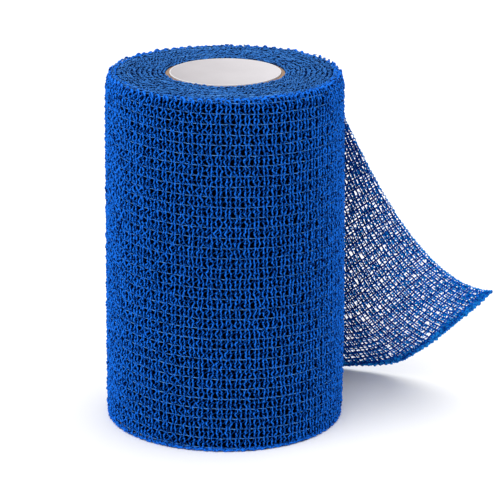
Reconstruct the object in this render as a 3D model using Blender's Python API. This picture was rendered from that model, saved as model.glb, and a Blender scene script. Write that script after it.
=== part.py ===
"""A roll of cohesive bandage standing on end, with the last turn peeled away.

Four pieces: the packed winding, the loose end that fans out from the back of
it, the paperboard core inside it and the plain paper disc on top of the core.
Everything is worked out around the roll's own axis and then set so that the
origin is under the middle of the whole object, on the surface it stands on.
"""
import bisect
import math
from collections import namedtuple

import bmesh
import bpy
from mathutils import Vector

MM = 0.001

# The bandage and its roll
BANDAGE_WIDTH = 101.6 * MM
TURN_THICKNESS = 1.0 * MM
BASE_RADIUS = 34.3 * MM
TOP_RADIUS = 33.8 * MM
CLEARANCE = 0.3 * MM

# The winding's edges: a crisp foot, a soft shoulder, a top dished to the core
FOOT_ROUND = 0.9 * MM
SHOULDER_ROUND = 2.6 * MM
DISH_DEPTH = 0.5 * MM
DISH_RADIUS = 25.0 * MM

# How far the turns sit off the core's centre, and the slow waves that make them
# uneven: how many go round, how far each leans on its way, and its share
OFF_CENTRE = 0.25 * MM
WALL_RIPPLE = 0.12 * MM
RIM_RIPPLE = 0.2 * MM
Wave = namedtuple("Wave", "around lean share")
WALL_WAVES = [Wave(3, 5.0, 0.6), Wave(5, -8.0, 0.4)]
RIM_WAVES = [Wave(2, 0.6, 0.6), Wave(5, 12.0, 0.4)]

# Paperboard core and the paper disc that closes it
CORE_RADIUS = 16.9 * MM
CORE_WALL = 2.0 * MM
CORE_FOOT = 0.6 * MM
CORE_TOP = 100.7 * MM
DISC_RADIUS = 15.6 * MM
DISC_THICKNESS = 0.4 * MM
DISC_EDGE = 0.1 * MM

# Where the last turn lets go of the winding, as an angle from +X
PEEL_ANGLE = math.radians(125.0)
STEP_ANGLE = math.radians(1.0)

# Each cross yarn of the loose end hangs from the winding's top edge
LOOSE_START = PEEL_ANGLE - math.radians(1.6)
HEAD_HEIGHT = 99.8 * MM
HEAD_GAP = 0.45 * MM
HEAD_SWEEP = math.radians(78.0)
LEAN_POWER = 0.8
HEM_THICKENING = 0.5 * MM
HEM_WIDTH = 2.5 * MM
HEM_REACH = 24.6 * MM

# Mesh resolution
WINDING_COLUMNS = 108
WALL_ROWS = 8
ROUND_STEPS = 4
TOP_ROWS = 5
TUBE_COLUMNS = 96
CROSS_YARNS = 34
YARN_STEPS = 26
SHARP_EDGE = math.radians(40.0)

# One row for each chosen cross yarn, by its share of the way to the cut end:
# where its foot stands (angle, distance from the axis, height), how steeply
# it comes down there, and how far it hangs straight before it flares.
Yarn = namedtuple("Yarn", "share foot_angle foot_radius foot_height foot_slope drop")
YARNS = [
    Yarn(0.00, 123.4, 34.4, 0.6, 90.0, 33.0),
    Yarn(0.15, 92.0, 35.5, 0.6, 87.0, 40.0),
    Yarn(0.295, 64.0, 41.2, 0.8, 76.0, 46.0),
    Yarn(0.44, 43.5, 49.9, 1.6, 60.0, 46.0),
    Yarn(0.59, 29.6, 57.7, 4.6, 42.5, 39.0),
    Yarn(0.69, 21.3, 62.0, 10.8, 27.5, 28.0),
    Yarn(0.765, 15.6, 65.0, 16.5, 17.5, 20.5),
    Yarn(0.885, 7.9, 70.4, 26.0, 6.5, 13.5),
    Yarn(1.00, 0.7, 76.2, 35.8, -8.5, 4.5),
]

Finish = namedtuple("Finish", "name colour roughness")
BLUE_CREPE = Finish("blue_crepe", (0.02, 0.11, 0.50, 1.0), 0.85)
KRAFT_BOARD = Finish("kraft_board", (0.50, 0.34, 0.21, 1.0), 0.80)
WHITE_PAPER = Finish("white_paper", (0.86, 0.85, 0.88, 1.0), 0.55)


def clear_scene():
    """Start from nothing."""
    for thing in list(bpy.data.objects):
        bpy.data.objects.remove(thing, do_unlink=True)


def material_for(finish):
    """A plain Principled material in the piece's own colour."""
    material = bpy.data.materials.new(finish.name)
    material.use_nodes = True
    shader = material.node_tree.nodes["Principled BSDF"]
    shader.inputs["Base Color"].default_value = finish.colour
    shader.inputs["Roughness"].default_value = finish.roughness
    shader.inputs["Metallic"].default_value = 0.0
    return material


def add_piece(name, mesh_builder, finish, stand):
    """Turn a finished bmesh into a named object that stands with the others."""
    bmesh.ops.recalc_face_normals(mesh_builder, faces=mesh_builder.faces)
    mesh = bpy.data.meshes.new(name)
    mesh_builder.to_mesh(mesh)
    mesh_builder.free()
    mesh.materials.append(material_for(finish))
    mesh.shade_smooth()
    mesh.set_sharp_from_angle(angle=SHARP_EDGE)
    piece = bpy.data.objects.new(name, mesh)
    bpy.context.scene.collection.objects.link(piece)
    piece.parent = stand
    return piece


def on_circle(radius, angle, height):
    """A point given by its distance from the roll's axis, angle and height."""
    return (radius * math.cos(angle), radius * math.sin(angle), height)


def skin_sections(sections):
    """Close a body round the axis through sections that all have equal counts."""
    builder = bmesh.new()
    loops = [[builder.verts.new(point) for point in section] for section in sections]
    for here, beyond in zip(loops, loops[1:] + loops[:1]):
        for index in range(len(here)):
            after = (index + 1) % len(here)
            builder.faces.new((here[index], beyond[index], beyond[after], here[after]))
    return builder


def turned(profile, columns):
    """Turn one closed profile of (radius, height) pairs round the axis."""
    angles = [2.0 * math.pi * column / columns for column in range(columns)]
    return skin_sections(
        [[on_circle(radius, angle, height) for radius, height in profile] for angle in angles])


def turns_back(angle):
    """How much of a turn lies between the peel line and this angle, 0 to 1."""
    return ((angle - PEEL_ANGLE) % (2.0 * math.pi)) / (2.0 * math.pi)


def unevenness(waves, angle, along):
    """Slow waves added up, from -1 to 1, at an angle and a share of the way along."""
    return sum(wave.share * math.sin(wave.around * angle + wave.lean * along) for wave in waves)


def wall_radius(angle, height):
    """The winding's outer surface: a spiral one turn thick, a little uneven."""
    rise = height / BANDAGE_WIDTH
    plain = BASE_RADIUS + (TOP_RADIUS - BASE_RADIUS) * rise
    spiral = plain - TURN_THICKNESS * turns_back(angle)
    return (spiral + OFF_CENTRE * math.cos(angle)
            + WALL_RIPPLE * unevenness(WALL_WAVES, angle, rise))


def rim_height(angle, radius):
    """The winding's top face: dished towards the core, a little uneven."""
    inward = max(0.0, DISH_RADIUS - radius) / (DISH_RADIUS - CORE_RADIUS)
    sag = RIM_RIPPLE * (1.0 - unevenness(RIM_WAVES, angle, radius / TOP_RADIUS)) / 2.0
    return BANDAGE_WIDTH - DISH_DEPTH * inward ** 2 - sag


def winding_section(angle):
    """The closed section of the packed turns at one angle, as points."""
    bore = CORE_RADIUS + CLEARANCE
    quarter = [0.5 * math.pi * step / ROUND_STEPS for step in range(ROUND_STEPS + 1)]
    points = [(bore, 0.0)]
    foot = wall_radius(angle, 0.0) - FOOT_ROUND
    points += [(foot + FOOT_ROUND * math.sin(turn), FOOT_ROUND * (1.0 - math.cos(turn)))
               for turn in quarter]
    shoulder_height = rim_height(angle, TOP_RADIUS) - SHOULDER_ROUND
    for row in range(1, WALL_ROWS):
        height = FOOT_ROUND + (shoulder_height - FOOT_ROUND) * row / WALL_ROWS
        points.append((wall_radius(angle, height), height))
    shoulder = wall_radius(angle, shoulder_height) - SHOULDER_ROUND
    points += [(shoulder + SHOULDER_ROUND * math.cos(turn),
                shoulder_height + SHOULDER_ROUND * math.sin(turn)) for turn in quarter]
    for row in range(1, TOP_ROWS + 1):
        radius = shoulder + (bore - shoulder) * row / TOP_ROWS
        points.append((radius, rim_height(angle, radius)))
    return [on_circle(radius, angle, height) for radius, height in points]


def build_winding(stand):
    """The packed turns as one body; its step is where the last turn lets go."""
    sweep = 2.0 * math.pi - STEP_ANGLE
    angles = [PEEL_ANGLE + sweep * column / WINDING_COLUMNS
              for column in range(WINDING_COLUMNS + 1)]
    builder = skin_sections([winding_section(angle) for angle in angles])
    return add_piece("winding", builder, BLUE_CREPE, stand)


def yarn_row(share):
    """Read the yarn table at any share, on a smooth curve through its rows."""
    shares = [row.share for row in YARNS]
    last = len(YARNS) - 1
    index = min(max(bisect.bisect_right(shares, share) - 1, 0), last - 1)
    before, after = YARNS[index], YARNS[index + 1]
    span = after.share - before.share
    step = (share - before.share) / span
    values = []
    for column in range(1, len(Yarn._fields)):
        slopes = []
        for row in (index, index + 1):
            low, high = YARNS[max(row - 1, 0)], YARNS[min(row + 1, last)]
            slopes.append((high[column] - low[column]) / (high.share - low.share) * span)
        values.append((2 * step ** 3 - 3 * step ** 2 + 1) * before[column]
                      + (step ** 3 - 2 * step ** 2 + step) * slopes[0]
                      + (3 * step ** 2 - 2 * step ** 3) * after[column]
                      + (step ** 3 - step ** 2) * slopes[1])
    return Yarn(share, *values)


def loose_end_point(share, down):
    """A point of the loose end: share is 0 at the peel line and 1 at the cut
    end, down is 0 at the winding's top edge and 1 at the free hem."""
    yarn = yarn_row(share)
    head_angle = LOOSE_START - HEAD_SWEEP * share
    head_radius = wall_radius(head_angle, HEAD_HEIGHT) + HEAD_GAP + TURN_THICKNESS / 2.0
    foot_radius = yarn.foot_radius * MM
    foot_height = yarn.foot_height * MM
    slope = math.radians(yarn.foot_slope)
    bend = [(head_radius, HEAD_HEIGHT),
            (head_radius, HEAD_HEIGHT - yarn.drop * MM),
            (foot_radius - HEM_REACH * math.cos(slope), foot_height + HEM_REACH * math.sin(slope)),
            (foot_radius, foot_height)]
    up = 1.0 - down
    weights = (up ** 3, 3 * up ** 2 * down, 3 * up * down ** 2, down ** 3)
    radius = sum(weight * point[0] for weight, point in zip(weights, bend))
    height = sum(weight * point[1] for weight, point in zip(weights, bend))
    foot_angle = math.radians(yarn.foot_angle)
    angle = head_angle + (foot_angle - head_angle) * down ** LEAN_POWER
    return Vector(on_circle(radius, angle, height))


def loose_end_outward(share, down):
    """The direction that faces away from the roll at a point of the loose end."""
    reach = 0.01
    left, right = max(share - reach, 0.0), min(share + reach, 1.0)
    above, below = max(down - reach, 0.0), min(down + reach, 1.0)
    along = loose_end_point(right, down) - loose_end_point(left, down)
    across = loose_end_point(share, below) - loose_end_point(share, above)
    return along.cross(across).normalized()


def build_loose_end(stand):
    """The peeled turn: a sheet one turn thick, a little thicker at its hem."""
    builder = bmesh.new()
    inner, outer = [], []
    for column in range(CROSS_YARNS + 1):
        share = column / CROSS_YARNS
        inner_yarn, outer_yarn = [], []
        for step in range(YARN_STEPS + 1):
            down = step / YARN_STEPS
            middle = loose_end_point(share, down)
            outward = loose_end_outward(share, down)
            from_hem = (1.0 - down) * BANDAGE_WIDTH / HEM_WIDTH
            hem = HEM_THICKENING * math.exp(-from_hem ** 2)
            inner_yarn.append(builder.verts.new(middle - outward * TURN_THICKNESS / 2.0))
            outer_yarn.append(builder.verts.new(middle + outward * (TURN_THICKNESS / 2.0 + hem)))
        inner.append(inner_yarn)
        outer.append(outer_yarn)
    for side in (inner, outer):
        for here, beyond in zip(side, side[1:]):
            for step in range(YARN_STEPS):
                builder.faces.new((here[step], here[step + 1], beyond[step + 1], beyond[step]))
    close_rim(builder, inner, outer)
    return add_piece("loose_end", builder, BLUE_CREPE, stand)


def close_rim(builder, inner, outer):
    """Join the two faces of a sheet along all four of its edges."""
    for edge_inner, edge_outer in zip(sheet_edges(inner), sheet_edges(outer)):
        for index in range(len(edge_inner) - 1):
            builder.faces.new((edge_inner[index], edge_inner[index + 1],
                               edge_outer[index + 1], edge_outer[index]))


def sheet_edges(grid):
    """The four edges of a grid of points, as lists."""
    return [grid[0], grid[-1], [yarn[0] for yarn in grid], [yarn[-1] for yarn in grid]]


def build_core(stand):
    """The paperboard tube that the bandage is wound on."""
    inner = CORE_RADIUS - CORE_WALL
    profile = [(inner, CORE_FOOT), (CORE_RADIUS, CORE_FOOT),
               (CORE_RADIUS, CORE_TOP), (inner, CORE_TOP)]
    return add_piece("core", turned(profile, TUBE_COLUMNS), KRAFT_BOARD, stand)


def build_disc(stand):
    """The paper disc stuck on the end of the core, its edge just eased."""
    builder = bmesh.new()
    bmesh.ops.create_cone(builder, cap_ends=True, segments=TUBE_COLUMNS,
                          radius1=DISC_RADIUS, radius2=DISC_RADIUS, depth=DISC_THICKNESS)
    edges = [edge for edge in builder.edges if len(edge.link_faces[0].verts) > 4
             or len(edge.link_faces[1].verts) > 4]
    bmesh.ops.bevel(builder, geom=edges, offset=DISC_EDGE, segments=1, affect="EDGES")
    middle = CORE_TOP + CLEARANCE + DISC_THICKNESS / 2.0
    bmesh.ops.translate(builder, verts=builder.verts, vec=(0.0, 0.0, middle))
    return add_piece("label", builder, WHITE_PAPER, stand)


def centre_over_origin(stand, pieces):
    """Set the object so that the origin is under the middle of its box."""
    points = [vertex.co for piece in pieces for vertex in piece.data.vertices]
    middle = [(min(point[axis] for point in points) + max(point[axis] for point in points)) / 2.0
              for axis in (0, 1)]
    stand.location = (-middle[0], -middle[1], 0.0)


def build_roll():
    """Make every piece and stand the roll on its foot."""
    clear_scene()
    stand = bpy.data.objects.new("roll", None)
    bpy.context.scene.collection.objects.link(stand)
    pieces = [build(stand) for build in (build_winding, build_loose_end, build_core, build_disc)]
    centre_over_origin(stand, pieces)


build_roll()
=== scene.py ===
# %% [markdown]
# # A roll of cohesive bandage
# The real thing is a stretchy crepe: thick crimped yarns run across the cloth, thin elastic threads run
# along it, and the whole is wound on a paperboard core. Each yarn is far too fine for a smooth drum with
# a picture on it to look right, because light falls between the yarns. So the cloth is modelled as yarns.
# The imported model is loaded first, and every later piece is set by its boxes.

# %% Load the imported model
import math
from collections import namedtuple

import bpy
import numpy as np
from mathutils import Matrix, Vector


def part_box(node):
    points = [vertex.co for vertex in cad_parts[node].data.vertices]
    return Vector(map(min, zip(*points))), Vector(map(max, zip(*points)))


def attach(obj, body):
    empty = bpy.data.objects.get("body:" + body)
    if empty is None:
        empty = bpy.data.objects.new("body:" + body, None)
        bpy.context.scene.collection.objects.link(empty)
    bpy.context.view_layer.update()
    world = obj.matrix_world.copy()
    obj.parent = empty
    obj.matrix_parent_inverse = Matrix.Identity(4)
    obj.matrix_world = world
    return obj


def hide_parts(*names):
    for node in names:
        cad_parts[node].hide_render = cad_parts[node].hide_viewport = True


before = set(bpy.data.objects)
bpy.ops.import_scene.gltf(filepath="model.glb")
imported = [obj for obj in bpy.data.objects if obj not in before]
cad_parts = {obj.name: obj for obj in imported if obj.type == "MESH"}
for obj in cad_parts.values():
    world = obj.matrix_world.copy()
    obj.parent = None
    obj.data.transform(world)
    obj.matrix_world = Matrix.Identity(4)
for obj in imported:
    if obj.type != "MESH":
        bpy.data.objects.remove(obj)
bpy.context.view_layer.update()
bpy.ops.object.select_all(action="DESELECT")

MM = 0.001
core_low, core_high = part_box("core")
AXIS = (core_low + core_high) / 2.0
AXIS.z = 0.0

# %% [markdown]
# ## The driving sizes
# These are the sizes of the cloth and its roll, the same as those that the solids were built from. They
# have names and come first, so that a change to one of them moves every yarn.

# %% Sizes
BANDAGE_WIDTH = 101.6 * MM
TURN_THICKNESS = 1.0 * MM
BASE_RADIUS = 34.3 * MM
TOP_RADIUS = 33.8 * MM
SHOULDER_ROUND = 3.4 * MM
DISH_DEPTH = 0.5 * MM
DISH_RADIUS = 25.0 * MM
OFF_CENTRE = 0.25 * MM
LEFT_FLARE = 0.50 * MM
FOOT_EASE = 0.25 * MM
FOOT_ZONE = 6.0 * MM
RIGHT_EASE = 0.42 * MM
RIGHT_ZONE = 24.0 * MM
WALL_RIPPLE = 0.12 * MM
RIM_RIPPLE = 0.2 * MM
PEEL_ANGLE = math.radians(125.0)
FULL_TURN = 2.0 * math.pi
print("roll", round(2 * BASE_RADIUS / MM, 1), "mm across,", round(BANDAGE_WIDTH / MM, 1), "mm high")

# %% [markdown]
# The outer surface is a spiral: it is one turn thinner after a full trip round, which leaves a step where
# the last turn lets go. A cylinder would have no such step. Low waves keep the roll from being quite round.

# %% The spiral surface
Wave = namedtuple("Wave", "around lean start share")
WALL_WAVES = [Wave(3, 5.0, 0.0, 0.6), Wave(5, -8.0, 0.0, 0.4)]
RIM_WAVES = [Wave(2, 0.6, 0.0, 0.6), Wave(5, 12.0, 0.0, 0.4)]


def unevenness(waves, angle, along):
    """Waves added up by their shares, from -1 to 1 where the shares add up to one."""
    return sum(wave.share * np.sin(wave.around * angle + wave.lean * along + wave.start) for wave in waves)


def turns_back(angle):
    """The share of a turn between the peel line and an angle."""
    return ((angle - PEEL_ANGLE) % FULL_TURN) / FULL_TURN


def wall_radius(angle, height):
    """How far the roll's outer surface is from its axis."""
    rise = height / BANDAGE_WIDTH
    plain = BASE_RADIUS + (TOP_RADIUS - BASE_RADIUS) * rise
    flare = LEFT_FLARE * (1.0 - rise ** 4) * np.maximum(0.0, -np.cos(angle)) ** 2
    ease = (FOOT_EASE * np.maximum(0.0, 1.0 - height / FOOT_ZONE) ** 2
            + RIGHT_EASE * np.maximum(0.0, 1.0 - height / RIGHT_ZONE) * np.maximum(0.0, np.cos(angle)) ** 2)
    return (plain - TURN_THICKNESS * turns_back(angle) + OFF_CENTRE * np.cos(angle) + flare - ease
            + WALL_RIPPLE * unevenness(WALL_WAVES, angle, rise))


def rim_height(angle, radius):
    """How high the roll's top face is, dished a little towards the core."""
    inward = np.maximum(0.0, DISH_RADIUS - radius) / (DISH_RADIUS - core_high.x + AXIS.x)
    sag = RIM_RIPPLE * (1.0 - unevenness(RIM_WAVES, angle, radius / TOP_RADIUS)) / 2.0
    return BANDAGE_WIDTH - DISH_DEPTH * inward ** 2 - sag


def on_roll(radius, angle, height):
    """Points round the roll's axis, from arrays of radius, angle and height."""
    radius, angle, height = np.broadcast_arrays(radius, angle, height)
    return np.stack([AXIS.x + radius * np.cos(angle), AXIS.y + radius * np.sin(angle), height], axis=-1)


FRONT = -math.pi / 2
print("radius at the front, foot and top, mm:",
      [round(float(wall_radius(FRONT, height)) / MM, 2) for height in (0.0, BANDAGE_WIDTH)])

# %% [markdown]
# ## Camera, light and floor
# The photograph is taken from a little above with a long lens. The camera's distance and pitch were fitted
# to the roll's outline. It is turned a touch to the right so that the loose end has room.

# %% Camera
PHOTO_SIDE = 500.0
SENSOR = 36.0
FOCAL_PIXELS = 2883.0
CAMERA_BACK = 786.07 * MM
CAMERA_HEIGHT = 294.87 * MM
CAMERA_PITCH = math.radians(17.39)
AXIS_PIXELS_LEFT = 25.4

camera_data = bpy.data.cameras.new("camera")
camera_data.sensor_width = SENSOR
camera_data.lens = FOCAL_PIXELS * SENSOR / PHOTO_SIDE
camera = bpy.data.objects.new("camera", camera_data)
bpy.context.scene.collection.objects.link(camera)
camera.location = (AXIS.x, AXIS.y - CAMERA_BACK, CAMERA_HEIGHT)
camera.rotation_euler = (math.pi / 2 - CAMERA_PITCH, 0.0, -math.atan(AXIS_PIXELS_LEFT / FOCAL_PIXELS))
bpy.context.scene.camera = camera
bpy.context.scene.view_settings.view_transform = "Standard"
print("lens", round(camera_data.lens, 1), "mm")

# %% [markdown]
# The world and the floor are white, as in a catalogue picture. One large soft light stands at the front
# left, and one above keeps the shadow pale. Small lamps would draw hard shadows between the yarns.

# %% Light and floor
WORLD_STRENGTH = 0.50
FLOOR_SIDE = 12.0
FLOOR_WHITE = (0.95, 0.95, 0.95, 1.0)
FLOOR_ROUGHNESS = 0.7

world = bpy.data.worlds.new("studio")
world.use_nodes = True
world.node_tree.nodes["Background"].inputs["Color"].default_value = (1.0, 1.0, 1.0, 1.0)
world.node_tree.nodes["Background"].inputs["Strength"].default_value = WORLD_STRENGTH
bpy.context.scene.world = world

Lamp = namedtuple("Lamp", "name place size power")
LAMPS = [
    Lamp("front_light", (-0.75, -0.80, 0.95), 1.8, 12.5),
    Lamp("top_light", (0.20, 0.10, 1.60), 2.6, 28.0),
]
aim = Vector((AXIS.x, AXIS.y, BANDAGE_WIDTH / 2))
for lamp in LAMPS:
    light_data = bpy.data.lights.new(lamp.name, "AREA")
    light_data.energy = lamp.power
    light_data.shape = "DISK"
    light_data.size = lamp.size
    light = bpy.data.objects.new(lamp.name, light_data)
    bpy.context.scene.collection.objects.link(light)
    light.location = lamp.place
    light.rotation_euler = (aim - Vector(lamp.place)).to_track_quat("-Z", "Y").to_euler()

bpy.ops.mesh.primitive_plane_add(size=FLOOR_SIDE, location=(0.0, 0.0, 0.0))
floor = bpy.context.object
floor.name = "floor"
floor_paint = bpy.data.materials.new("floor_paint")
floor_paint.use_nodes = True
floor_paint.node_tree.nodes["Principled BSDF"].inputs["Base Color"].default_value = FLOOR_WHITE
floor_paint.node_tree.nodes["Principled BSDF"].inputs["Roughness"].default_value = FLOOR_ROUGHNESS
floor.data.materials.append(floor_paint)
print("lights", [lamp.name for lamp in LAMPS])

# %% [markdown]
# ## One helper for every yarn
# Everything woven here is a tube that follows a line, so one helper makes them all: it takes the middle
# lines of many strands as one array, sets a ring of points round each step, and joins ring to ring. Three
# or four sides are enough at this size, because smooth shading rounds them. Every end is closed. Each point
# also keeps its crest, how far round to the outward side it is. The colour uses it for a painted highlight
# on the crest, where fibres would catch the light, and for painted shade on the flanks.

# %% Tubes along many lines
UP = np.array([0.0, 0.0, 1.0])


def unit(vectors):
    """Vectors scaled to a length of one."""
    return vectors / np.maximum(np.linalg.norm(vectors, axis=-1, keepdims=True), 1e-12)


def tube_mesh(lines, outward, radius, sides=3):
    """Tubes as points, faces and crest: crest is 1 on a tube's outward side and falls to 0 on its back.
    lines are strands x steps x 3. outward and radius have that many too, or fewer that stand for all."""
    strands, steps, _ = lines.shape
    radius = np.broadcast_to(radius, (strands, steps))
    along = unit(np.gradient(lines, axis=1))
    beside = unit(np.cross(along, outward))
    above = np.cross(beside, along)
    turn = FULL_TURN * (np.arange(sides) / sides + 0.25)
    ring = beside[:, :, None] * np.cos(turn)[:, None] + above[:, :, None] * np.sin(turn)[:, None]
    points = (lines[:, :, None] + radius[:, :, None, None] * ring).reshape(-1, 3)
    strand, step, side = np.meshgrid(np.arange(strands), np.arange(steps - 1), np.arange(sides),
                                     indexing="ij")

    def number(step, side):
        return ((strand * steps + step) * sides + side % sides).reshape(-1)

    walls = np.stack([number(step, side), number(step + 1, side),
                      number(step + 1, side + 1), number(step, side + 1)], axis=1).tolist()
    first = np.arange(strands)[:, None] * steps * sides + np.arange(sides)
    last = first + (steps - 1) * sides
    crest = np.tile(0.5 + 0.5 * np.sin(turn), strands * steps)
    return points, walls + first.tolist() + last[:, ::-1].tolist(), crest


def joined(parts):
    """Several (points, faces, crest) as one."""
    faces, before = [], 0
    for some_points, some_faces, _ in parts:
        faces += [[corner + before for corner in face] for face in some_faces]
        before += len(some_points)
    return np.concatenate([part[0] for part in parts]), faces, np.concatenate([part[2] for part in parts])


def add_piece(name, mesh_parts, material):
    """Make a smooth shaded object of (points, faces, crest) that rides on the roll."""
    points, faces, crest = mesh_parts
    mesh = bpy.data.meshes.new(name)
    mesh.from_pydata(points.tolist(), [], faces)
    mesh.shade_smooth()
    mesh.attributes.new("crest", "FLOAT", "POINT").data.foreach_set("value", crest)
    mesh.materials.append(material)
    piece = bpy.data.objects.new(name, mesh)
    bpy.context.scene.collection.objects.link(piece)
    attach(piece, "root")
    print(name, sum(len(face) - 2 for face in faces), "triangles")
    return piece


# %% [markdown]
# No strand is even. A random shift of every point would make it hairy, so a few slow waves with random
# starts are added up. A crimp has a size and a wavelength, and crimps of several sizes add up too.

# %% Soft random wobble
NOISE = np.random.default_rng(11)
WOBBLE_WAVES = 3
Crimp = namedtuple("Crimp", "size wavelength")


def wander(strands, place, wavelength):
    """Soft random wobble from about -1 to 1 along each strand; place is how far along each point is."""
    rate = FULL_TURN / wavelength * NOISE.uniform(0.65, 1.5, (WOBBLE_WAVES, strands, 1))
    start = NOISE.uniform(0.0, FULL_TURN, (WOBBLE_WAVES, strands, 1))
    return np.sin(rate * place + start).sum(axis=0) / math.sqrt(WOBBLE_WAVES * 2.0)


def crimped(strands, place, *crimps):
    """The wobble of one or more crimps along each strand."""
    return sum(crimp.size * wander(strands, place, crimp.wavelength) for crimp in crimps)


# %% [markdown]
# ## Shader maths as plain expressions
# A material here is a few lines of arithmetic on noise. Nodes could be added and linked one by one, but
# the sum would get lost among them. So a small class wraps a socket and overloads the operators, and an
# expression on values adds the Math nodes that it needs.

# %% Shader arithmetic
class Value:
    """A socket of a node tree that can be used in arithmetic."""

    def __init__(self, tree, socket):
        self.tree = tree
        self.socket = socket

    def math(self, operation, *others):
        return node(self.tree, "ShaderNodeMath", {"operation": operation}, [self, *others])

    def __add__(self, other):
        return self.math("ADD", other)

    def __mul__(self, other):
        return self.math("MULTIPLY", other)

    def __sub__(self, other):
        return self.math("SUBTRACT", other)

    def __rsub__(self, other):
        return node(self.tree, "ShaderNodeMath", {"operation": "SUBTRACT"}, [other, self])

    def __rtruediv__(self, other):
        return node(self.tree, "ShaderNodeMath", {"operation": "DIVIDE"}, [other, self])

    __radd__ = __add__
    __rmul__ = __mul__


# %% [markdown]
# The shader editor could make every material by hand, but the blues differ only in their numbers. So these
# helpers add a node with its inputs, blend two colours, and start and dress a material.

# %% Nodes and materials
BUMP_DEPTH = 0.1 * MM


def feed(tree, socket, value):
    """Link a Value to a socket, or set a constant on it."""
    if isinstance(value, Value):
        tree.links.new(value.socket, socket)
    else:
        socket.default_value = value


def node(tree, kind, settings, inputs, output=0):
    """Add a node, set it up, feed its sockets and give back one output as a Value."""
    made = tree.nodes.new(kind)
    for name, value in settings.items():
        setattr(made, name, value)
    named = inputs.items() if isinstance(inputs, dict) else enumerate(inputs)
    for key, value in named:
        feed(tree, made.inputs[key], value)
    return Value(tree, made.outputs[output])


def blend(tree, share, low, high):
    """A colour between low and high."""
    mix = tree.nodes.new("ShaderNodeMix")
    mix.data_type = "RGBA"
    sockets = {socket.identifier: socket for socket in [*mix.inputs, *mix.outputs]}
    for name, value in (("Factor_Float", share), ("A_Color", low), ("B_Color", high)):
        feed(tree, sockets[name], value)
    return Value(tree, sockets["Result_Color"])


def noise(tree, place, size, detail):
    """Noise with features about as large as size."""
    return node(tree, "ShaderNodeTexNoise", {}, {"Vector": place, "Scale": 1.0 / size, "Detail": detail})


def new_material(name, roughness, **constants):
    """A Principled material with its constant values set on the shader's own sockets."""
    material = bpy.data.materials.new(name)
    material.use_nodes = True
    shader = material.node_tree.nodes["Principled BSDF"]
    shader.inputs["Roughness"].default_value = roughness
    for socket, value in constants.items():
        shader.inputs[socket.replace("_", " ")].default_value = value
    return material, material.node_tree, shader


def dress(tree, shader, share, low, high, bump, height):
    """Colour a shader between low and high, and let height roughen its surface."""
    relief = node(tree, "ShaderNodeBump", {}, {"Strength": bump, "Distance": BUMP_DEPTH, "Height": height})
    feed(tree, shader.inputs["Base Color"], blend(tree, share, low, high))
    feed(tree, shader.inputs["Normal"], relief)


# %% [markdown]
# ## The crepe's colour
# The yarn is one royal blue. Its colour gets a painted highlight where fibres stand up and painted shade on
# the flanks and deep between the turns. One plain blue would look like plastic, so every kind of strand has
# a dark and a light blue, and patches, specks and the crest decide between them. The web alone is painted
# lighter on the side that faces the roll, a painted light, and the loose end gets painted shade that
# deepens towards the roll.

# %% Crepe materials
# The pit blue is painted shade, the near black of inner turns deep in the gaps; the inner blues are painted
# shade for the drum's ends.
PIT_SHADE = (0.0001, 0.0006, 0.0060, 1.0)
INNER_DARK = (0.0002, 0.0050, 0.0500, 1.0)
INNER_LIGHT = (0.0010, 0.0300, 0.1900, 1.0)
LACING_DARK = (0.0001, 0.0060, 0.0650, 1.0)
LACING_LIGHT = (0.0050, 0.1200, 0.5800, 1.0)
YARN_BLUE = (0.0001, 0.0060, 0.0750, 1.0)
LIGHT_BLUE = (0.0100, 0.1750, 0.8100, 1.0)
# The top's blues are a little greyer than the wall's: a painted sheen of fibres seen from above.
TOP_DARK = (0.0001, 0.0035, 0.0420, 1.0)
TOP_LIGHT = (0.0300, 0.1600, 0.5000, 1.0)
LINE_DARK = (0.0001, 0.0240, 0.2400, 1.0)
LINE_LIGHT = (0.0005, 0.1750, 0.8000, 1.0)
# The hem's and web's blues are lighter than the wall's: painted light for the thin loose end, which lies in
# the roll's shade.
HEM_DARK = (0.0015, 0.0900, 0.4000, 1.0)
HEM_LIGHT = (0.0160, 0.3200, 0.8800, 1.0)
WEB_DARK = (0.0003, 0.0550, 0.4200, 1.0)
WEB_LIGHT = (0.0080, 0.3700, 0.9900, 1.0)
THREAD_DARK = (0.0200, 0.1500, 0.5200, 1.0)
THREAD_LIGHT = (0.1300, 0.3900, 0.8400, 1.0)

PATCH_SHARE = 2.2
SPECK_SHARE = 2.8
DARK_SHARE = 2.0
CREST_MIDDLE = 0.6
# The loose end's painted shade towards the roll is measured from NET_MIDDLE: darker nearer the roll.
NET_MIDDLE = 50.0 * MM
CREPE_ROUGHNESS = 0.6


def crepe(name, low, high, gloss, patch=1.2, speck=0.4, bump=0.3, crest=0.8, shade_near_roll=0.0):
    """Matt crinkled yarn between two blues, in patches and specks, with a painted highlight on the crest,
    painted shade on the flanks, and painted shade that darkens the loose end towards the roll.
    """
    material, tree, shader = new_material(name, CREPE_ROUGHNESS, Specular_IOR_Level=gloss)
    place = node(tree, "ShaderNodeTexCoord", {}, [], "Object")
    patches = noise(tree, place, patch * MM, 2.0)
    specks = noise(tree, place, speck * MM, 1.0)
    on_crest = node(tree, "ShaderNodeAttribute", {"attribute_name": "crest"}, [], "Fac")
    across = node(tree, "ShaderNodeSeparateXYZ", {}, [place], "X")
    # The crest term paints a highlight on crests and shade on flanks; the last term paints shade towards
    # the roll.
    share = (patches * PATCH_SHARE + specks * SPECK_SHARE - DARK_SHARE
             + (on_crest - CREST_MIDDLE) * crest + (across - NET_MIDDLE) * shade_near_roll)
    dress(tree, shader, share, low, high, bump, specks)
    return material


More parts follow.
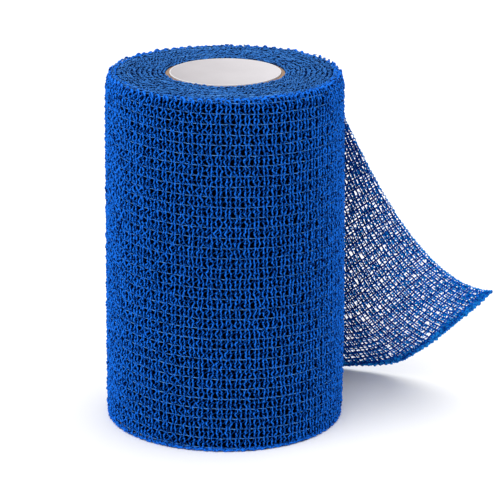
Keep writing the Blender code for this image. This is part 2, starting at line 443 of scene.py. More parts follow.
yarn_blue = crepe("crepe_yarn", YARN_BLUE, LIGHT_BLUE, gloss=0.03, patch=1.0, speck=0.5, bump=0.6,
                  crest=1.2)
# The top's greyer blues are a painted sheen.
top_sheen_blue = crepe("crepe_end_sheen", TOP_DARK, TOP_LIGHT, gloss=0.05, patch=0.9, speck=0.5, bump=0.5, crest=1.5)
lacing_blue = crepe("lacing_fibre", LACING_DARK, LACING_LIGHT, gloss=0.0, crest=1.0)
# The drum's two blues are painted shade: dark blue for its ends, near black for its side.
inner_shade_blue = crepe("crepe_in_shadow", INNER_DARK, INNER_LIGHT, gloss=0.0)
depth_shade = crepe("crepe_depth_shade", PIT_SHADE, PIT_SHADE, gloss=0.0)
# The net, and the web below, get painted shade that deepens towards the roll.
net_blue = crepe("net_yarn", LINE_DARK, LINE_LIGHT, gloss=0.05, crest=0.0, shade_near_roll=16.0)
# The hem's lighter blues are painted light.
hem_lit_blue = crepe("hem_yarn", HEM_DARK, HEM_LIGHT, gloss=0.05, crest=0.0)
# The web's lighter blues, and its crest weight that paints it lighter on the side facing the roll, are
# painted light.
web_lit_blue = crepe("web_fibre", WEB_DARK, WEB_LIGHT, gloss=0.02, crest=-1.3, shade_near_roll=6.0)
thread_pale = crepe("elastic_thread", THREAD_DARK, THREAD_LIGHT, gloss=0.2)
print("materials", [material.name for material in bpy.data.materials])

# %% [markdown]
# ## The wall: crimped yarns in pairs
# Round the roll stand 160 yarns, which run across the cloth. The elastic threads gather them in pairs, so
# two neighbours touch at each thread and bow apart in between, which gives the small rings and bow-tie
# holes of crepe. A bump map could draw them on a drum, but its holes would have no depth. So each yarn is
# a line of its own, and the sizes of all of them come first.

# %% Sizes of the wall yarns
PAIRS = 80
THREAD_ROWS = 34
ROW_PITCH = 2.92 * MM
ROWS_PER_TURN = 2
ROW_LEAN = ROWS_PER_TURN * ROW_PITCH
FIRST_ROW_BELOW = 1.87 * MM
YARN_RADIUS = 0.33 * MM
YARN_SUNK = 0.30 * MM
YARN_STEPS = 320
FOOT_HEIGHT = 0.35 * MM
SHOULDER_REACH = math.radians(75.0)
PAIR_SPREAD = 0.42 * MM
RING_SPREAD = 0.34 * MM
RING_SHARPNESS = 1.5
WEAVE_OVER = 0.11 * MM
DRIFT = 0.14 * MM
DRIFT_WAVES = [Wave(14, 31.0, 0.0, 0.625), Wave(23, -44.0, 1.0, 0.625), Wave(9, 58.0, 2.0, 0.625)]
OPEN_WAVES = [Wave(11, 21.0, 0.5, 1 / 3), Wave(17, -35.0, 0.0, 1 / 3), Wave(5, 48.0, 4.0, 1 / 3)]
UNEVEN_RINGS = Crimp(0.5, 9.0 * MM)
UNEVEN_SPREAD = Crimp(0.4, 5.0 * MM)
PAIR_SHIFT = Crimp(0.14 * MM, 7.0 * MM)
SIDEWAYS = [Crimp(0.17 * MM, 1.3 * MM), Crimp(0.14 * MM, 2.6 * MM)]
IN_AND_OUT = [Crimp(0.17 * MM, 1.4 * MM), Crimp(0.12 * MM, 4.0 * MM)]
OUT_ON_SHOULDER = 0.3
THICK_AND_THIN = [Crimp(0.30, 1.1 * MM), Crimp(0.22, 0.75 * MM)]

yarns = 2 * PAIRS
wall_height = BANDAGE_WIDTH - SHOULDER_ROUND - FOOT_HEIGHT
run_length = wall_height + SHOULDER_ROUND * SHOULDER_REACH
run = np.linspace(0.0, run_length, YARN_STEPS)[None, :]
pair_angle = PEEL_ANGLE + FULL_TURN * (np.arange(PAIRS) + 0.5) / PAIRS
yarn_angle = np.repeat(pair_angle, 2)[:, None]
side_of_pair = np.tile([-1.0, 1.0], PAIRS)[:, None]
print(yarns, "yarns, each", round(run_length / MM, 1), "mm long")

# %% [markdown]
# The cloth drifts a little to and fro and is more open in some places than in others. Random wobble for
# each yarn would tear neighbours apart, so both follow slow waves over the roll's surface. At the rim the
# yarns bend in over the shoulder on a round path.

# %% How the cloth drifts, opens and bends
def drift(angle, height):
    """A slow sideways drift of the whole cloth, the same for neighbours, in metres."""
    return DRIFT * unevenness(DRIFT_WAVES, angle, height / BANDAGE_WIDTH)


def openness(angle, height):
    """How wide the pairs spread here, from 0 to 1, in soft patches."""
    return 0.5 + unevenness(OPEN_WAVES, angle, height / BANDAGE_WIDTH) / 2.0


def row_drop(angle):
    """How far the rows of threads have come down since the peel line: they wind on like a screw."""
    return FIRST_ROW_BELOW + ROW_LEAN * turns_back(angle)


def shoulder_path(along):
    """Distance in from the wall, height and tilt, for a run up the wall and over the shoulder."""
    over = np.clip(along - wall_height, 0.0, None) / SHOULDER_ROUND
    inward = SHOULDER_ROUND * (1.0 - np.cos(over))
    height = FOOT_HEIGHT + np.minimum(along, wall_height) + SHOULDER_ROUND * np.sin(over)
    return inward, height, over


def facing_out(angle, tilt):
    """Directions away from the roll, tilted up over the shoulder."""
    angle, tilt = np.broadcast_arrays(angle, tilt)
    return np.stack([np.cos(tilt) * np.cos(angle), np.cos(tilt) * np.sin(angle), np.sin(tilt)], axis=-1)


print("rows come down in a turn, mm:", round(ROW_LEAN / MM, 2))

# %% [markdown]
# Now a yarn is a line from foot to rim, pushed sideways by the pairing, the drift and its own crimps. All
# are worked out at once, as arrays of 160 yarns by 320 steps, because a loop over points would be slow. One
# mesh of all of them would be a very large piece, so there is one for the front and one for the back.

# %% The wall yarns
inward, height, tilt = shoulder_path(run)
row_phase = FULL_TURN * (BANDAGE_WIDTH - row_drop(yarn_angle) - height) / ROW_PITCH
ring = (0.5 - 0.5 * np.cos(row_phase + crimped(yarns, run, UNEVEN_RINGS))) ** RING_SHARPNESS
opened = RING_SPREAD * (0.5 + openness(yarn_angle, height)) * (1.0 + crimped(yarns, run, UNEVEN_SPREAD))
pair_shift = np.repeat(crimped(PAIRS, run, PAIR_SHIFT), 2, axis=0)
woven_path = side_of_pair * (PAIR_SPREAD + opened * ring) + drift(yarn_angle, height) + pair_shift
sideways = woven_path + crimped(yarns, run, *SIDEWAYS)
in_and_out = crimped(yarns, run, *IN_AND_OUT) + WEAVE_OVER * (side_of_pair - 1.0) * np.cos(row_phase)
thick = YARN_RADIUS * (1.0 + crimped(yarns, run, *THICK_AND_THIN))
surface = wall_radius(yarn_angle, height) - YARN_SUNK
yarn_lines = on_roll(surface - inward + in_and_out * np.cos(tilt), yarn_angle + sideways / BASE_RADIUS,
                     height + (OUT_ON_SHOULDER * in_and_out - YARN_SUNK) * np.sin(tilt))
yarn_outward = facing_out(yarn_angle, tilt)
HALVES = {"wall_yarns_front": slice(0, yarns // 2), "wall_yarns_back": slice(yarns // 2, yarns)}
for name, half in HALVES.items():
    some_yarns = tube_mesh(yarn_lines[half], yarn_outward[half], thick[half])
    add_piece(name, some_yarns, yarn_blue)

# %% [markdown]
# In every gap between two yarns a finer strand swings from one to the other and back. It crosses at each
# elastic thread, where it lies close to the surface, and again deeper down half way to the next. It stands
# for the fibres that tie the crepe together, and it splits the long slits into rows of small pits. Straight
# bars would do that too, but they would look like a ladder.

# %% Lacing in the gaps
LACING_STEPS = 200
LACING_RADIUS = 0.19 * MM
LACING_SUNK = 0.62 * MM
LACING_RISE = 0.26 * MM
GROOVE = 0.14 * MM
LACING_SWING = 0.62 * MM
LACING_SNAP = 2.2
LACING_STRAY = Crimp(0.7, 5.0 * MM)
LACING_IN_AND_OUT = Crimp(0.16 * MM, 3.0 * MM)
LACING_THICK_AND_THIN = Crimp(0.35, 1.9 * MM)

picked = np.linspace(0, YARN_STEPS - 1, LACING_STEPS).astype(int)
lace_run, lace_in, lace_tilt = run[:, picked], inward[:, picked], tilt[:, picked]
lace_height = height[:, picked]
lace_shift = (drift(yarn_angle, height) + pair_shift)[:, picked]
gap_middle = np.maximum(side_of_pair, 0.0) * math.pi * BASE_RADIUS / PAIRS
lace_phase = row_phase[:, picked] + crimped(yarns, lace_run, LACING_STRAY)
lace_side = gap_middle + lace_shift + LACING_SWING * np.tanh(LACING_SNAP * np.sin(lace_phase))
lace_depth = (LACING_SUNK + GROOVE * side_of_pair - LACING_RISE * np.cos(lace_phase)
              + crimped(yarns, lace_run, LACING_IN_AND_OUT))
lace_radius = wall_radius(yarn_angle, lace_height) - lace_in - lace_depth * np.cos(lace_tilt)
lace_lines = on_roll(lace_radius, yarn_angle + lace_side / BASE_RADIUS,
                     lace_height - lace_depth * np.sin(lace_tilt))
lace_thick = LACING_RADIUS * (1.0 + crimped(yarns, lace_run, LACING_THICK_AND_THIN))
lacing = tube_mesh(lace_lines, facing_out(yarn_angle, lace_tilt), lace_thick)
add_piece("yarn_lacing", lacing, lacing_blue)

# %% [markdown]
# ## The elastic threads
# Round the roll, one above the other, run thin elastic threads that gather the crepe. They lie below the
# yarns' crests and dip in and out, so they show as pale dashes and not as whole lines.

# %% Threads round the wall
THREAD_RADIUS = 0.085 * MM
THREAD_STEPS = 190
THREAD_SUNK = 0.38 * MM
HIGHEST_THREAD = BANDAGE_WIDTH - 0.8 * MM
THREAD_LEVEL = Crimp(0.10 * MM, 24.0 * MM)
THREAD_DIPS = Crimp(0.24 * MM, 4.0 * MM)
THREAD_THICK_AND_THIN = Crimp(0.2, 2.5 * MM)

back = np.linspace(0.0, 1.0, THREAD_STEPS)[None, :]
around = PEEL_ANGLE + FULL_TURN * back
travelled = around * BASE_RADIUS
rows = np.arange(-ROWS_PER_TURN, THREAD_ROWS)[:, None]
count = len(rows)
height = (BANDAGE_WIDTH - FIRST_ROW_BELOW - rows * ROW_PITCH - ROW_LEAN * back
          + crimped(count, travelled, THREAD_LEVEL))
height = np.clip(height, FOOT_HEIGHT, HIGHEST_THREAD)
over = np.clip(height - (BANDAGE_WIDTH - SHOULDER_ROUND), 0.0, SHOULDER_ROUND)
inward_here = SHOULDER_ROUND - np.sqrt(SHOULDER_ROUND ** 2 - over ** 2)
dips = crimped(count, travelled, THREAD_DIPS)
lines = on_roll(wall_radius(around, height) - inward_here - THREAD_SUNK + dips, around, height)
thick = THREAD_RADIUS * (1.0 + crimped(count, travelled, THREAD_THICK_AND_THIN))
roll_middle = np.array([AXIS.x, AXIS.y, BANDAGE_WIDTH / 2])
add_piece("elastic_threads", tube_mesh(lines, unit(lines - roll_middle), thick), thread_pale)

# %% [markdown]
# ## What lies under the outer yarns
# The smooth pieces, which are the drum, the core and its paper disc, start as plain cylinders and are
# shaped in edit mode, as one would by hand. Code can't click on a face, so these helpers pick faces by
# their place and direction and then run the operators on them.

# %% Picking faces in code
def pick_faces(piece, wanted):
    """Select only the faces that pass a test on their middle and normal, ready for edit mode."""
    bpy.context.tool_settings.mesh_select_mode = (False, False, True)
    for part in (*piece.data.vertices, *piece.data.edges, *piece.data.polygons):
        part.select = False
    for face in piece.data.polygons:
        face.select = wanted(face.center, face.normal)


def in_edit_mode(*steps):
    """Run operators on what is selected, in edit mode."""
    bpy.ops.object.mode_set(mode="EDIT")
    for step in steps:
        step()
    bpy.ops.object.mode_set(mode="OBJECT")


def cylinder(name, radius, low, high, columns):
    """A cylinder round the roll's axis, unturned and unscaled, alone in the selection."""
    bpy.ops.object.select_all(action="DESELECT")
    bpy.ops.mesh.primitive_cylinder_add(vertices=columns, radius=radius, depth=high - low,
                                        location=(AXIS.x, AXIS.y, (low + high) / 2))
    piece = bpy.context.object
    piece.name = name
    bpy.ops.object.transform_apply(location=True, rotation=True, scale=True)
    return piece


def bore(piece, wall):
    """Turn a cylinder into a tube: inset both ends, take the middles out and bridge the hole."""
    pick_faces(piece, lambda middle, normal: abs(normal.z) > 0.9)
    in_edit_mode(lambda: bpy.ops.mesh.inset(thickness=wall),
                 lambda: bpy.ops.mesh.delete(type="ONLY_FACE"),
                 lambda: bpy.ops.mesh.select_mode(type="EDGE"),
                 lambda: bpy.ops.mesh.select_all(action="DESELECT"),
                 lambda: bpy.ops.mesh.select_non_manifold(),
                 lambda: bpy.ops.mesh.bridge_edge_loops())


# %% [markdown]
# The real roll is cloth all the way in. The turns below the outer one never show, but without them light
# would fall through the gaps. So a drum closes the roll: a bored cylinder whose side is divided and whose
# points are set on the spiral, a little below the yarns. Its side is painted near black and its ends dark
# blue, painted shade for the inner turns deep in the gaps.

# %% The drum under the yarns
DRUM_SUNK = 1.60 * MM
DRUM_TOP = BANDAGE_WIDTH - 1.0 * MM
DRUM_FOOT = 0.9 * MM
DRUM_COLUMNS = 180
DRUM_CUTS = 12
CORE_GAP = 0.15 * MM

core_radius = core_high.x - AXIS.x


def on_outer_side(point):
    """Whether a point of the drum is on its outer side and not on its bore."""
    return (point.xy - AXIS.xy).length > 1.5 * core_radius


drum = cylinder("winding_drum", BASE_RADIUS - DRUM_SUNK, DRUM_FOOT, DRUM_TOP, DRUM_COLUMNS)
bore(drum, BASE_RADIUS - DRUM_SUNK - core_radius - CORE_GAP)
pick_faces(drum, lambda middle, normal: False)
bpy.context.tool_settings.mesh_select_mode = (False, True, False)
for edge in drum.data.edges:
    low, top = (drum.data.vertices[number].co for number in edge.vertices)
    edge.select = abs(low.z - top.z) > BANDAGE_WIDTH / 2 and on_outer_side(low)
in_edit_mode(lambda: bpy.ops.mesh.subdivide(number_cuts=DRUM_CUTS))
for point in drum.data.vertices:
    angle = math.atan2(point.co.y - AXIS.y, point.co.x - AXIS.x)
    if on_outer_side(point.co):
        point.co = on_roll(wall_radius(angle, point.co.z) - DRUM_SUNK, angle, point.co.z)
# Painted shade: near black on the drum's side, dark blue on its ends.
drum.data.materials.append(depth_shade)
drum.data.materials.append(inner_shade_blue)
for face in drum.data.polygons:
    face.material_index = int(abs(face.normal.z) > 0.5)
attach(drum, "root")
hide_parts("winding")
print("drum faces", len(drum.data.polygons))

# %% [markdown]
# ## The ends of the roll
# Seen from above, the cloth's edge lies in a spiral of turns. At the edge the two yarns of a pair cross
# again and again, so every turn is a chain of small rings with dark middles. Rings could be placed one by
# one, but two lines that swing in opposite directions along the spiral give the same chain in one go.

# %% Chains along the end turns
Chain = namedtuple("Chain", "inner outer thick pitch ring")
CHAIN_START = core_radius - 1.20 * MM
TOP_CHAIN = Chain(CHAIN_START, TOP_RADIUS - TURN_THICKNESS - 1.2 * MM, 0.22 * MM, 1.45 * MM, 1.35 * MM)
FOOT_CHAIN = Chain(CHAIN_START, BASE_RADIUS - 1.6 * MM, 0.32 * MM, 2.0 * MM, 1.9 * MM)
FOOT_CHAIN_HEIGHT = 1.25 * MM
FIBRE_RISE = 0.35 * MM
OFF_BOARD = 0.2 * MM
RING_STEPS = 4
RING_WIDTH = 0.36 * MM
RING_RISE = 0.20 * MM
CHAIN_SUNK = 0.30 * MM
CHAIN_STRAY = Crimp(0.22 * MM, 2.4 * MM)
CHAIN_UP_AND_DOWN = Crimp(0.30 * MM, 2.9 * MM)
CHAIN_THICK_AND_THIN = Crimp(0.3, 1.7 * MM)


def end_line(chain, face_height, sign):
    """One of the two crimped lines along the spiral of turns, from the core out to the shoulder."""
    length = (chain.outer - chain.inner) / chain.pitch * math.pi * (chain.outer + chain.inner)
    share = np.linspace(0.0, 1.0, int(length / chain.ring * RING_STEPS))
    radius = np.sqrt(chain.inner ** 2 + (chain.outer ** 2 - chain.inner ** 2) * share)
    angle = PEEL_ANGLE - FULL_TURN * (radius - chain.inner) / chain.pitch
    travelled = length * share[None, :]
    swing = math.pi * travelled / chain.ring
    sideways = sign * RING_WIDTH * np.sin(swing) + crimped(1, travelled, CHAIN_STRAY)
    rise = sign * RING_RISE * np.cos(swing) + crimped(1, travelled, CHAIN_UP_AND_DOWN) - CHAIN_SUNK
    outside_board = np.maximum(radius + sideways, core_radius + OFF_BOARD)
    line = on_roll(outside_board, angle, face_height(angle, radius) + rise)
    return tube_mesh(line, UP, chain.thick * (1.0 + crimped(1, travelled, CHAIN_THICK_AND_THIN)), sides=4)


def end_chain(chain, face_height):
    """Both lines of the chain."""
    return joined([end_line(chain, face_height, sign) for sign in (1.0, -1.0)])


def top_height(angle, radius):
    """The top face as it shows: the fibres at the core stand up a little round the board."""
    inward = np.maximum(0.0, DISH_RADIUS - radius) / (DISH_RADIUS - core_radius)
    return rim_height(angle, radius) + FIBRE_RISE * inward ** 2


top_chain = end_chain(TOP_CHAIN, lambda angle, radius: top_height(angle, radius) - TOP_CHAIN.thick)
foot_chain = end_chain(FOOT_CHAIN, lambda angle, radius: FOOT_CHAIN_HEIGHT)
add_piece("top_turns", top_chain, top_sheen_blue)
add_piece("foot_turns", foot_chain, yarn_blue)

# %% [markdown]
# At the foot the yarns turn back in plump loops. Without them the cut yarns would stand on the floor like
# a fringe, so two thick crimped lines run round the foot's edge.

# %% The foot's edge
FOOT_LOOP = 1.35 * MM
FOOT_LOOP_RADIUS = 0.40 * MM
FOOT_LOOP_SHARE = 0.92
FOOT_EDGE_STEPS = 640
FOOT_EDGE_HEIGHT = 0.5 * MM
FOOT_IN = 0.42 * MM
FOOT_SWING = 0.30 * MM
FOOT_LIFT = 0.12 * MM
FOOT_STAGGER = 0.14 * MM
FOOT_STRAY = Crimp(0.5, 2.6 * MM)
FOOT_THICK_AND_THIN = Crimp(0.30, 1.3 * MM)
FOOT_UP_AND_DOWN = Crimp(0.14 * MM, 2.0 * MM)

angle = FULL_TURN * np.linspace(0.0, 1.0, FOOT_EDGE_STEPS)[None, :] + PEEL_ANGLE
travelled = angle * BASE_RADIUS
loops = []
for sign in (1.0, -1.0):
    swing = sign * np.sin(math.pi * travelled / FOOT_LOOP) + crimped(1, travelled, FOOT_STRAY)
    radius = wall_radius(angle, FOOT_EDGE_HEIGHT) - FOOT_IN + FOOT_SWING * swing
    width = FOOT_LOOP_RADIUS * (FOOT_LOOP_SHARE + crimped(1, travelled, FOOT_THICK_AND_THIN))
    height = (FOOT_LOOP_RADIUS + FOOT_LIFT + FOOT_STAGGER * sign
              + crimped(1, travelled, FOOT_UP_AND_DOWN))
    line = on_roll(radius, angle, np.maximum(width, height))
    loops.append(tube_mesh(line, facing_out(angle, 0.0), width, sides=4))
add_piece("foot_edge", joined(loops), yarn_blue)

# %% [markdown]
# Loose curls lie all over the chains, because the edge of crepe frays. A hair system could scatter them,
# but short bent tubes, each at its own angle, are easier to keep inside the rim and off the board.

# %% Curls on the top
TOP_CURLS = 420
CURL_POINTS = 5
CURL_LENGTHS = (1.0 * MM, 2.4 * MM)
CURL_BEND = 0.6 * MM
CURL_INNER = core_radius + 0.1 * MM
CURL_OUTER = TOP_CHAIN.outer + 0.4 * MM
CURL_SUNK = (0.0, 0.5)
CURL_RADII = (0.10, 0.24)

each = (TOP_CURLS, 1)
lie = NOISE.uniform(0.0, FULL_TURN, each)
length = NOISE.uniform(*CURL_LENGTHS, each)
bend = NOISE.uniform(-CURL_BEND, CURL_BEND, each)
step = np.linspace(-0.5, 0.5, CURL_POINTS)[None, :]
bow = bend * np.cos(math.pi * step)
outwards = length * step * np.cos(lie) - bow * np.sin(lie)
roundwards = length * step * np.sin(lie) + bow * np.cos(lie)
middle = np.sqrt(NOISE.uniform(core_radius ** 2, TOP_CHAIN.outer ** 2, each))
radius = np.clip(middle + outwards, CURL_INNER, CURL_OUTER)
angle = NOISE.uniform(0.0, FULL_TURN, each) + roundwards / middle
line = on_roll(radius, angle, top_height(angle, radius) - NOISE.uniform(*CURL_SUNK, each) * MM)
curls = tube_mesh(line, UP, NOISE.uniform(*CURL_RADII, each) * MM)
add_piece("top_curls", curls, top_sheen_blue)

# %% [markdown]
# Some elastic threads lie bare along the turns and show as short pale arcs. They are thin tubes round the
# axis, set a little below the curls.

# %% Pale threads on the top
TOP_THREADS = 26
ARC_POINTS = 24
ARC_INNER = core_radius + 2.0 * MM
ARC_OUTER = TOP_CHAIN.outer + 1.0 * MM
ARC_REACH = (0.2, 0.7)
ARC_STRAY = Crimp(0.25 * MM, 6.0 * MM)
ARC_SUNK = 0.26 * MM
ARC_RADIUS = 0.09 * MM

each = (TOP_THREADS, 1)
arc_middle = NOISE.uniform(ARC_INNER, ARC_OUTER, each)
arc_start = NOISE.uniform(0.0, FULL_TURN, each)
arc_angle = arc_start + np.linspace(0.0, 1.0, ARC_POINTS) * NOISE.uniform(*ARC_REACH, each)
arc_radius = arc_middle + crimped(TOP_THREADS, arc_angle * TOP_RADIUS, ARC_STRAY)
line = on_roll(arc_radius, arc_angle, top_height(arc_angle, arc_radius) - ARC_SUNK)
add_piece("top_threads", tube_mesh(line, UP, ARC_RADIUS), thread_pale)

# %% [markdown]
# Where the outer turns bend over the shoulder, each pair of yarns ends in a plump arch. These arches are
# what makes the roll's upper outline bumpy, which no texture could do. A second row stands further in.

# %% Arches round the rim
ARCH_POINTS = 8
ARCH_SIDES = 5
ARCH_TILT = math.radians(65.0)
ARCH_SAG = 1.3 * MM
ARCH_LEAN = 0.3 * MM
ARCH_THIN_ENDS = 0.25
UNEVEN_PLACE = 0.2
UNEVEN_LEAN = 0.3
UNEVEN_CROWN = (-0.15, 0.25)
UNEVEN_THICK = (0.8, 1.2)
ArchRow = namedtuple("ArchRow", "inward crown reach thick shift")
ARCH_ROWS = [
    ArchRow(1.20 * MM, 0.05 * MM, 0.85 * MM, 0.36 * MM, 0.0),
    ArchRow(2.40 * MM, 0.15 * MM, 0.80 * MM, 0.30 * MM, 0.5),
]
each = (PAIRS, 1)
bow = np.linspace(0.0, math.pi, ARCH_POINTS)[None, :]
arches = []
for arch in ARCH_ROWS:
    place = (pair_angle[:, None] + arch.shift * FULL_TURN / PAIRS
             + NOISE.uniform(-UNEVEN_PLACE, UNEVEN_PLACE, each) / PAIRS)
    angle = place - arch.reach * np.cos(bow) / TOP_RADIUS
    lean = arch.inward + NOISE.uniform(-UNEVEN_LEAN, UNEVEN_LEAN, each) * MM + ARCH_LEAN * np.cos(bow)
    crown = arch.crown + NOISE.uniform(*UNEVEN_CROWN, each) * MM
    height = BANDAGE_WIDTH - arch.thick - crown - ARCH_SAG * (1.0 - np.sin(bow))
    line = on_roll(wall_radius(place, BANDAGE_WIDTH) - lean, angle, height)
    full_width = arch.thick * NOISE.uniform(*UNEVEN_THICK, each)
    width = full_width * (1.0 - ARCH_THIN_ENDS + ARCH_THIN_ENDS * np.sin(bow))
    arches.append(tube_mesh(line, facing_out(place, ARCH_TILT), width, ARCH_SIDES))
add_piece("rim_arches", joined(arches), yarn_blue)

# %% [markdown]
# ## The core and its paper disc
# Board is made of plies of brown fibre, so its end shows thin rings and its side a fine grain. The paper
# is white and a little cloudy, with a faint ring where it is pressed down, and it is painted lighter
# towards +X, a painted sheen. Both are worked out from noise, the distance to the axis and the place
# across, because then nothing has to be unwrapped or drawn on an image.

# %% Board and paper materials
BOARD_DARK = (0.19, 0.12, 0.08, 1.0)
BOARD_LIGHT = (0.42, 0.28, 0.19, 1.0)
PLY = 0.55 * MM
# The paper's two colours span its cloudy tone and a painted sheen that grows lighter towards +X.
PAPER_SHADE = (0.42, 0.395, 0.41, 1.0)
PAPER_WHITE = (0.58, 0.555, 0.575, 1.0)
# The rim's whiter colour is a painted highlight.
RIM_HIGHLIGHT = (0.64, 0.63, 0.65, 1.0)
PAPER_SHEEN_SPAN = 30.0 * MM
PRESS_RADIUS = 10.1 * MM
PRESS_WIDTH = 0.25 * MM


def from_axis(tree):
    """Object coordinates with the middle of the core's top as the origin."""
    place = node(tree, "ShaderNodeTexCoord", {}, [], "Object")
    middle = (AXIS.x, AXIS.y, core_high.z)
    return node(tree, "ShaderNodeVectorMath", {"operation": "SUBTRACT"}, [place, middle])


kraft_board, tree, shader = new_material("kraft_board", 0.8, Specular_IOR_Level=0.2)
place = from_axis(tree)
flat_place = node(tree, "ShaderNodeVectorMath", {"operation": "MULTIPLY"}, [place, (1.0, 1.0, 0.0)])
from_middle = node(tree, "ShaderNodeVectorMath", {"operation": "LENGTH"}, [flat_place], "Value")
plies = (from_middle * (FULL_TURN / PLY)).math("SINE")
grain = noise(tree, place, 0.8 * MM, 3.0)
dress(tree, shader, plies * 0.18 + grain * 0.9, BOARD_DARK, BOARD_LIGHT, 0.4, plies * 0.3 + grain)

white_paper, tree, shader = new_material("white_paper", 0.4, Specular_IOR_Level=0.3)
place = from_axis(tree)
from_middle = node(tree, "ShaderNodeVectorMath", {"operation": "LENGTH"}, [place], "Value")
across = node(tree, "ShaderNodeSeparateXYZ", {}, [place], "X")
cloud = noise(tree, place, 9.0 * MM, 2.0)
tooth = noise(tree, place, 0.3 * MM, 2.0)
from_press = (from_middle - PRESS_RADIUS) * (1.0 / PRESS_WIDTH)
press_mark = 1.0 / (from_press * from_press + 1.0)
# Lighter towards +X is a painted sheen; the cloud is the paper's own uneven tone.
cloud_and_sheen = across * (1.0 / PAPER_SHEEN_SPAN) + cloud * 0.5 + 0.25
relief = tooth * 0.6 + cloud * 3.0 + press_mark * 1.2
dress(tree, shader, cloud_and_sheen, PAPER_SHADE, PAPER_WHITE, 0.2, relief)
rim_highlight, tree, shader = new_material("paper_rim_highlight", 0.4, Base_Color=RIM_HIGHLIGHT)
print("board and paper ready")

# %% [markdown]
# The paperboard tube is a cylinder that is bored. Its rims are eased by a bevel, because the edge of board
# is never sharp.

# %% The core
CORE_WALL = 2.0 * MM
CORE_EASE = 0.25 * MM
TUBE_COLUMNS = 128


def ease_edges(piece, width, segments, sharper_than):
    """Bevel the edges of the active piece that are sharper than an angle."""
    ease = piece.modifiers.new("ease", "BEVEL")
    ease.width = width
    ease.segments = segments
    ease.angle_limit = sharper_than
    bpy.ops.object.modifier_apply(modifier="ease")


core_tube = cylinder("core_tube", core_radius, core_low.z, core_high.z, TUBE_COLUMNS)
bore(core_tube, CORE_WALL)
ease_edges(core_tube, CORE_EASE, 3, math.radians(40.0))
bpy.ops.object.shade_smooth_by_angle(angle=math.radians(35.0))
core_tube.data.materials.append(kraft_board)
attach(core_tube, "root")
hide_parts("core")
print("core faces", len(core_tube.data.polygons))

# %% [markdown]
# The disc is a thinner cylinder that lies on the core's end. Its top is inset and sunk inside a narrow rim,
# which leaves an edge like that of pressed paper, and the rim is painted whiter, a painted highlight. A
# single flat face would have no edge at all.

# %% The paper disc
PAPER_RIM = 0.35 * MM
PAPER_STEP = 0.10 * MM
PAPER_SETTLED = 0.28 * MM
PAPER_OVER = 0.1 * MM

label_low, label_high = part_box("label")
label_radius = label_high.x - AXIS.x + PAPER_OVER
paper = cylinder("paper_disc", label_radius, label_low.z - PAPER_SETTLED, label_high.z - PAPER_SETTLED,
                 TUBE_COLUMNS)
pick_faces(paper, lambda middle, normal: normal.z > 0.9)
in_edit_mode(lambda: bpy.ops.mesh.inset(thickness=PAPER_RIM),
             lambda: bpy.ops.mesh.inset(thickness=PAPER_STEP, depth=-PAPER_STEP),
             lambda: bpy.ops.mesh.inset(thickness=label_radius * 0.45),
             lambda: bpy.ops.mesh.inset(thickness=label_radius * 0.25))
ease_edges(paper, PAPER_STEP / 2, 2, math.radians(30.0))
bpy.ops.object.shade_smooth_by_angle(angle=math.radians(30.0))
paper.data.materials.append(white_paper)
# The rim's faces get the whiter colour: a painted highlight.
paper.data.materials.append(rim_highlight)
for face in paper.data.polygons:
    face.material_index = int((face.center.xy - AXIS.xy).length > label_radius - PAPER_RIM)
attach(paper, "root")
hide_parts("label")
print("paper faces", len(paper.data.polygons))

# %% [markdown]
# ## The loose end
# The last turn is peeled away. Off the roll the crepe opens into a net: dark stretched yarns across it,
# from 1 mm apart at the rim to 2 mm apart at the hem, dark elastic threads along it about as far apart as
# the rows on the roll, and a crinkled mid blue web in the cells. The net follows the surface that its
# solid was built on, so the same table and the same bends are used here.

# %% The loose end's surface
LOOSE_START = PEEL_ANGLE - math.radians(1.6)
HEAD_HEIGHT = 99.8 * MM
HEAD_GAP = 0.45 * MM
HEAD_SWEEP = math.radians(78.0)
LEAN_POWER = 0.8
HEM_REACH = 24.6 * MM
RIM_LENGTH = 46.0 * MM
HEM_LENGTH = 122.0 * MM
SHEET_DEPTH = 99.0 * MM
SLOPE_REACH = 0.01

Yarn = namedtuple("Yarn", "share foot_angle foot_radius foot_height foot_slope drop")
YARNS = [
    Yarn(0.00, 123.4, 34.4, 0.6, 90.0, 33.0),
    Yarn(0.15, 92.0, 35.5, 0.6, 87.0, 40.0),
    Yarn(0.295, 64.0, 41.2, 0.8, 76.0, 46.0),
    Yarn(0.44, 43.5, 49.9, 1.6, 60.0, 46.0),
    Yarn(0.59, 29.6, 57.7, 4.6, 42.5, 39.0),
    Yarn(0.69, 21.3, 62.0, 10.8, 27.5, 28.0),
    Yarn(0.765, 15.6, 65.0, 16.5, 17.5, 20.5),
    Yarn(0.885, 7.9, 70.4, 26.0, 6.5, 13.5),
    Yarn(1.00, 0.7, 76.2, 35.8, -8.5, 4.5),
]
yarn_table = np.array(YARNS)


def yarn_columns(share):
    """Every column of the yarn table at any shares, on a smooth curve through its rows."""
    last = len(YARNS) - 1
    numbers = np.arange(len(YARNS))
    before = yarn_table[np.maximum(numbers - 1, 0)]
    beyond = yarn_table[np.minimum(numbers + 1, last)]
    slopes = (beyond - before) / (beyond[:, :1] - before[:, :1])
    index = np.clip(np.searchsorted(yarn_table[:, 0], share, side="right") - 1, 0, last - 1)
    span = (yarn_table[index + 1, 0] - yarn_table[index, 0])[..., None]
    step = (share - yarn_table[index, 0])[..., None] / span
    value = ((2 * step ** 3 - 3 * step ** 2 + 1) * yarn_table[index]
             + (step ** 3 - 2 * step ** 2 + step) * slopes[index] * span
             + (3 * step ** 2 - 2 * step ** 3) * yarn_table[index + 1]
             + (step ** 3 - step ** 2) * slopes[index + 1] * span)
    return Yarn(*np.moveaxis(value, -1, 0))


print("yarns in the table", len(YARNS))

# %% [markdown]
# A point of the sheet is found in two steps: the table says how its yarn starts, hangs and ends, and a
# Bezier curve from rim to hem does the rest. Cloth simulation could hang the sheet too, but it would not
# stop at the photographed outline.

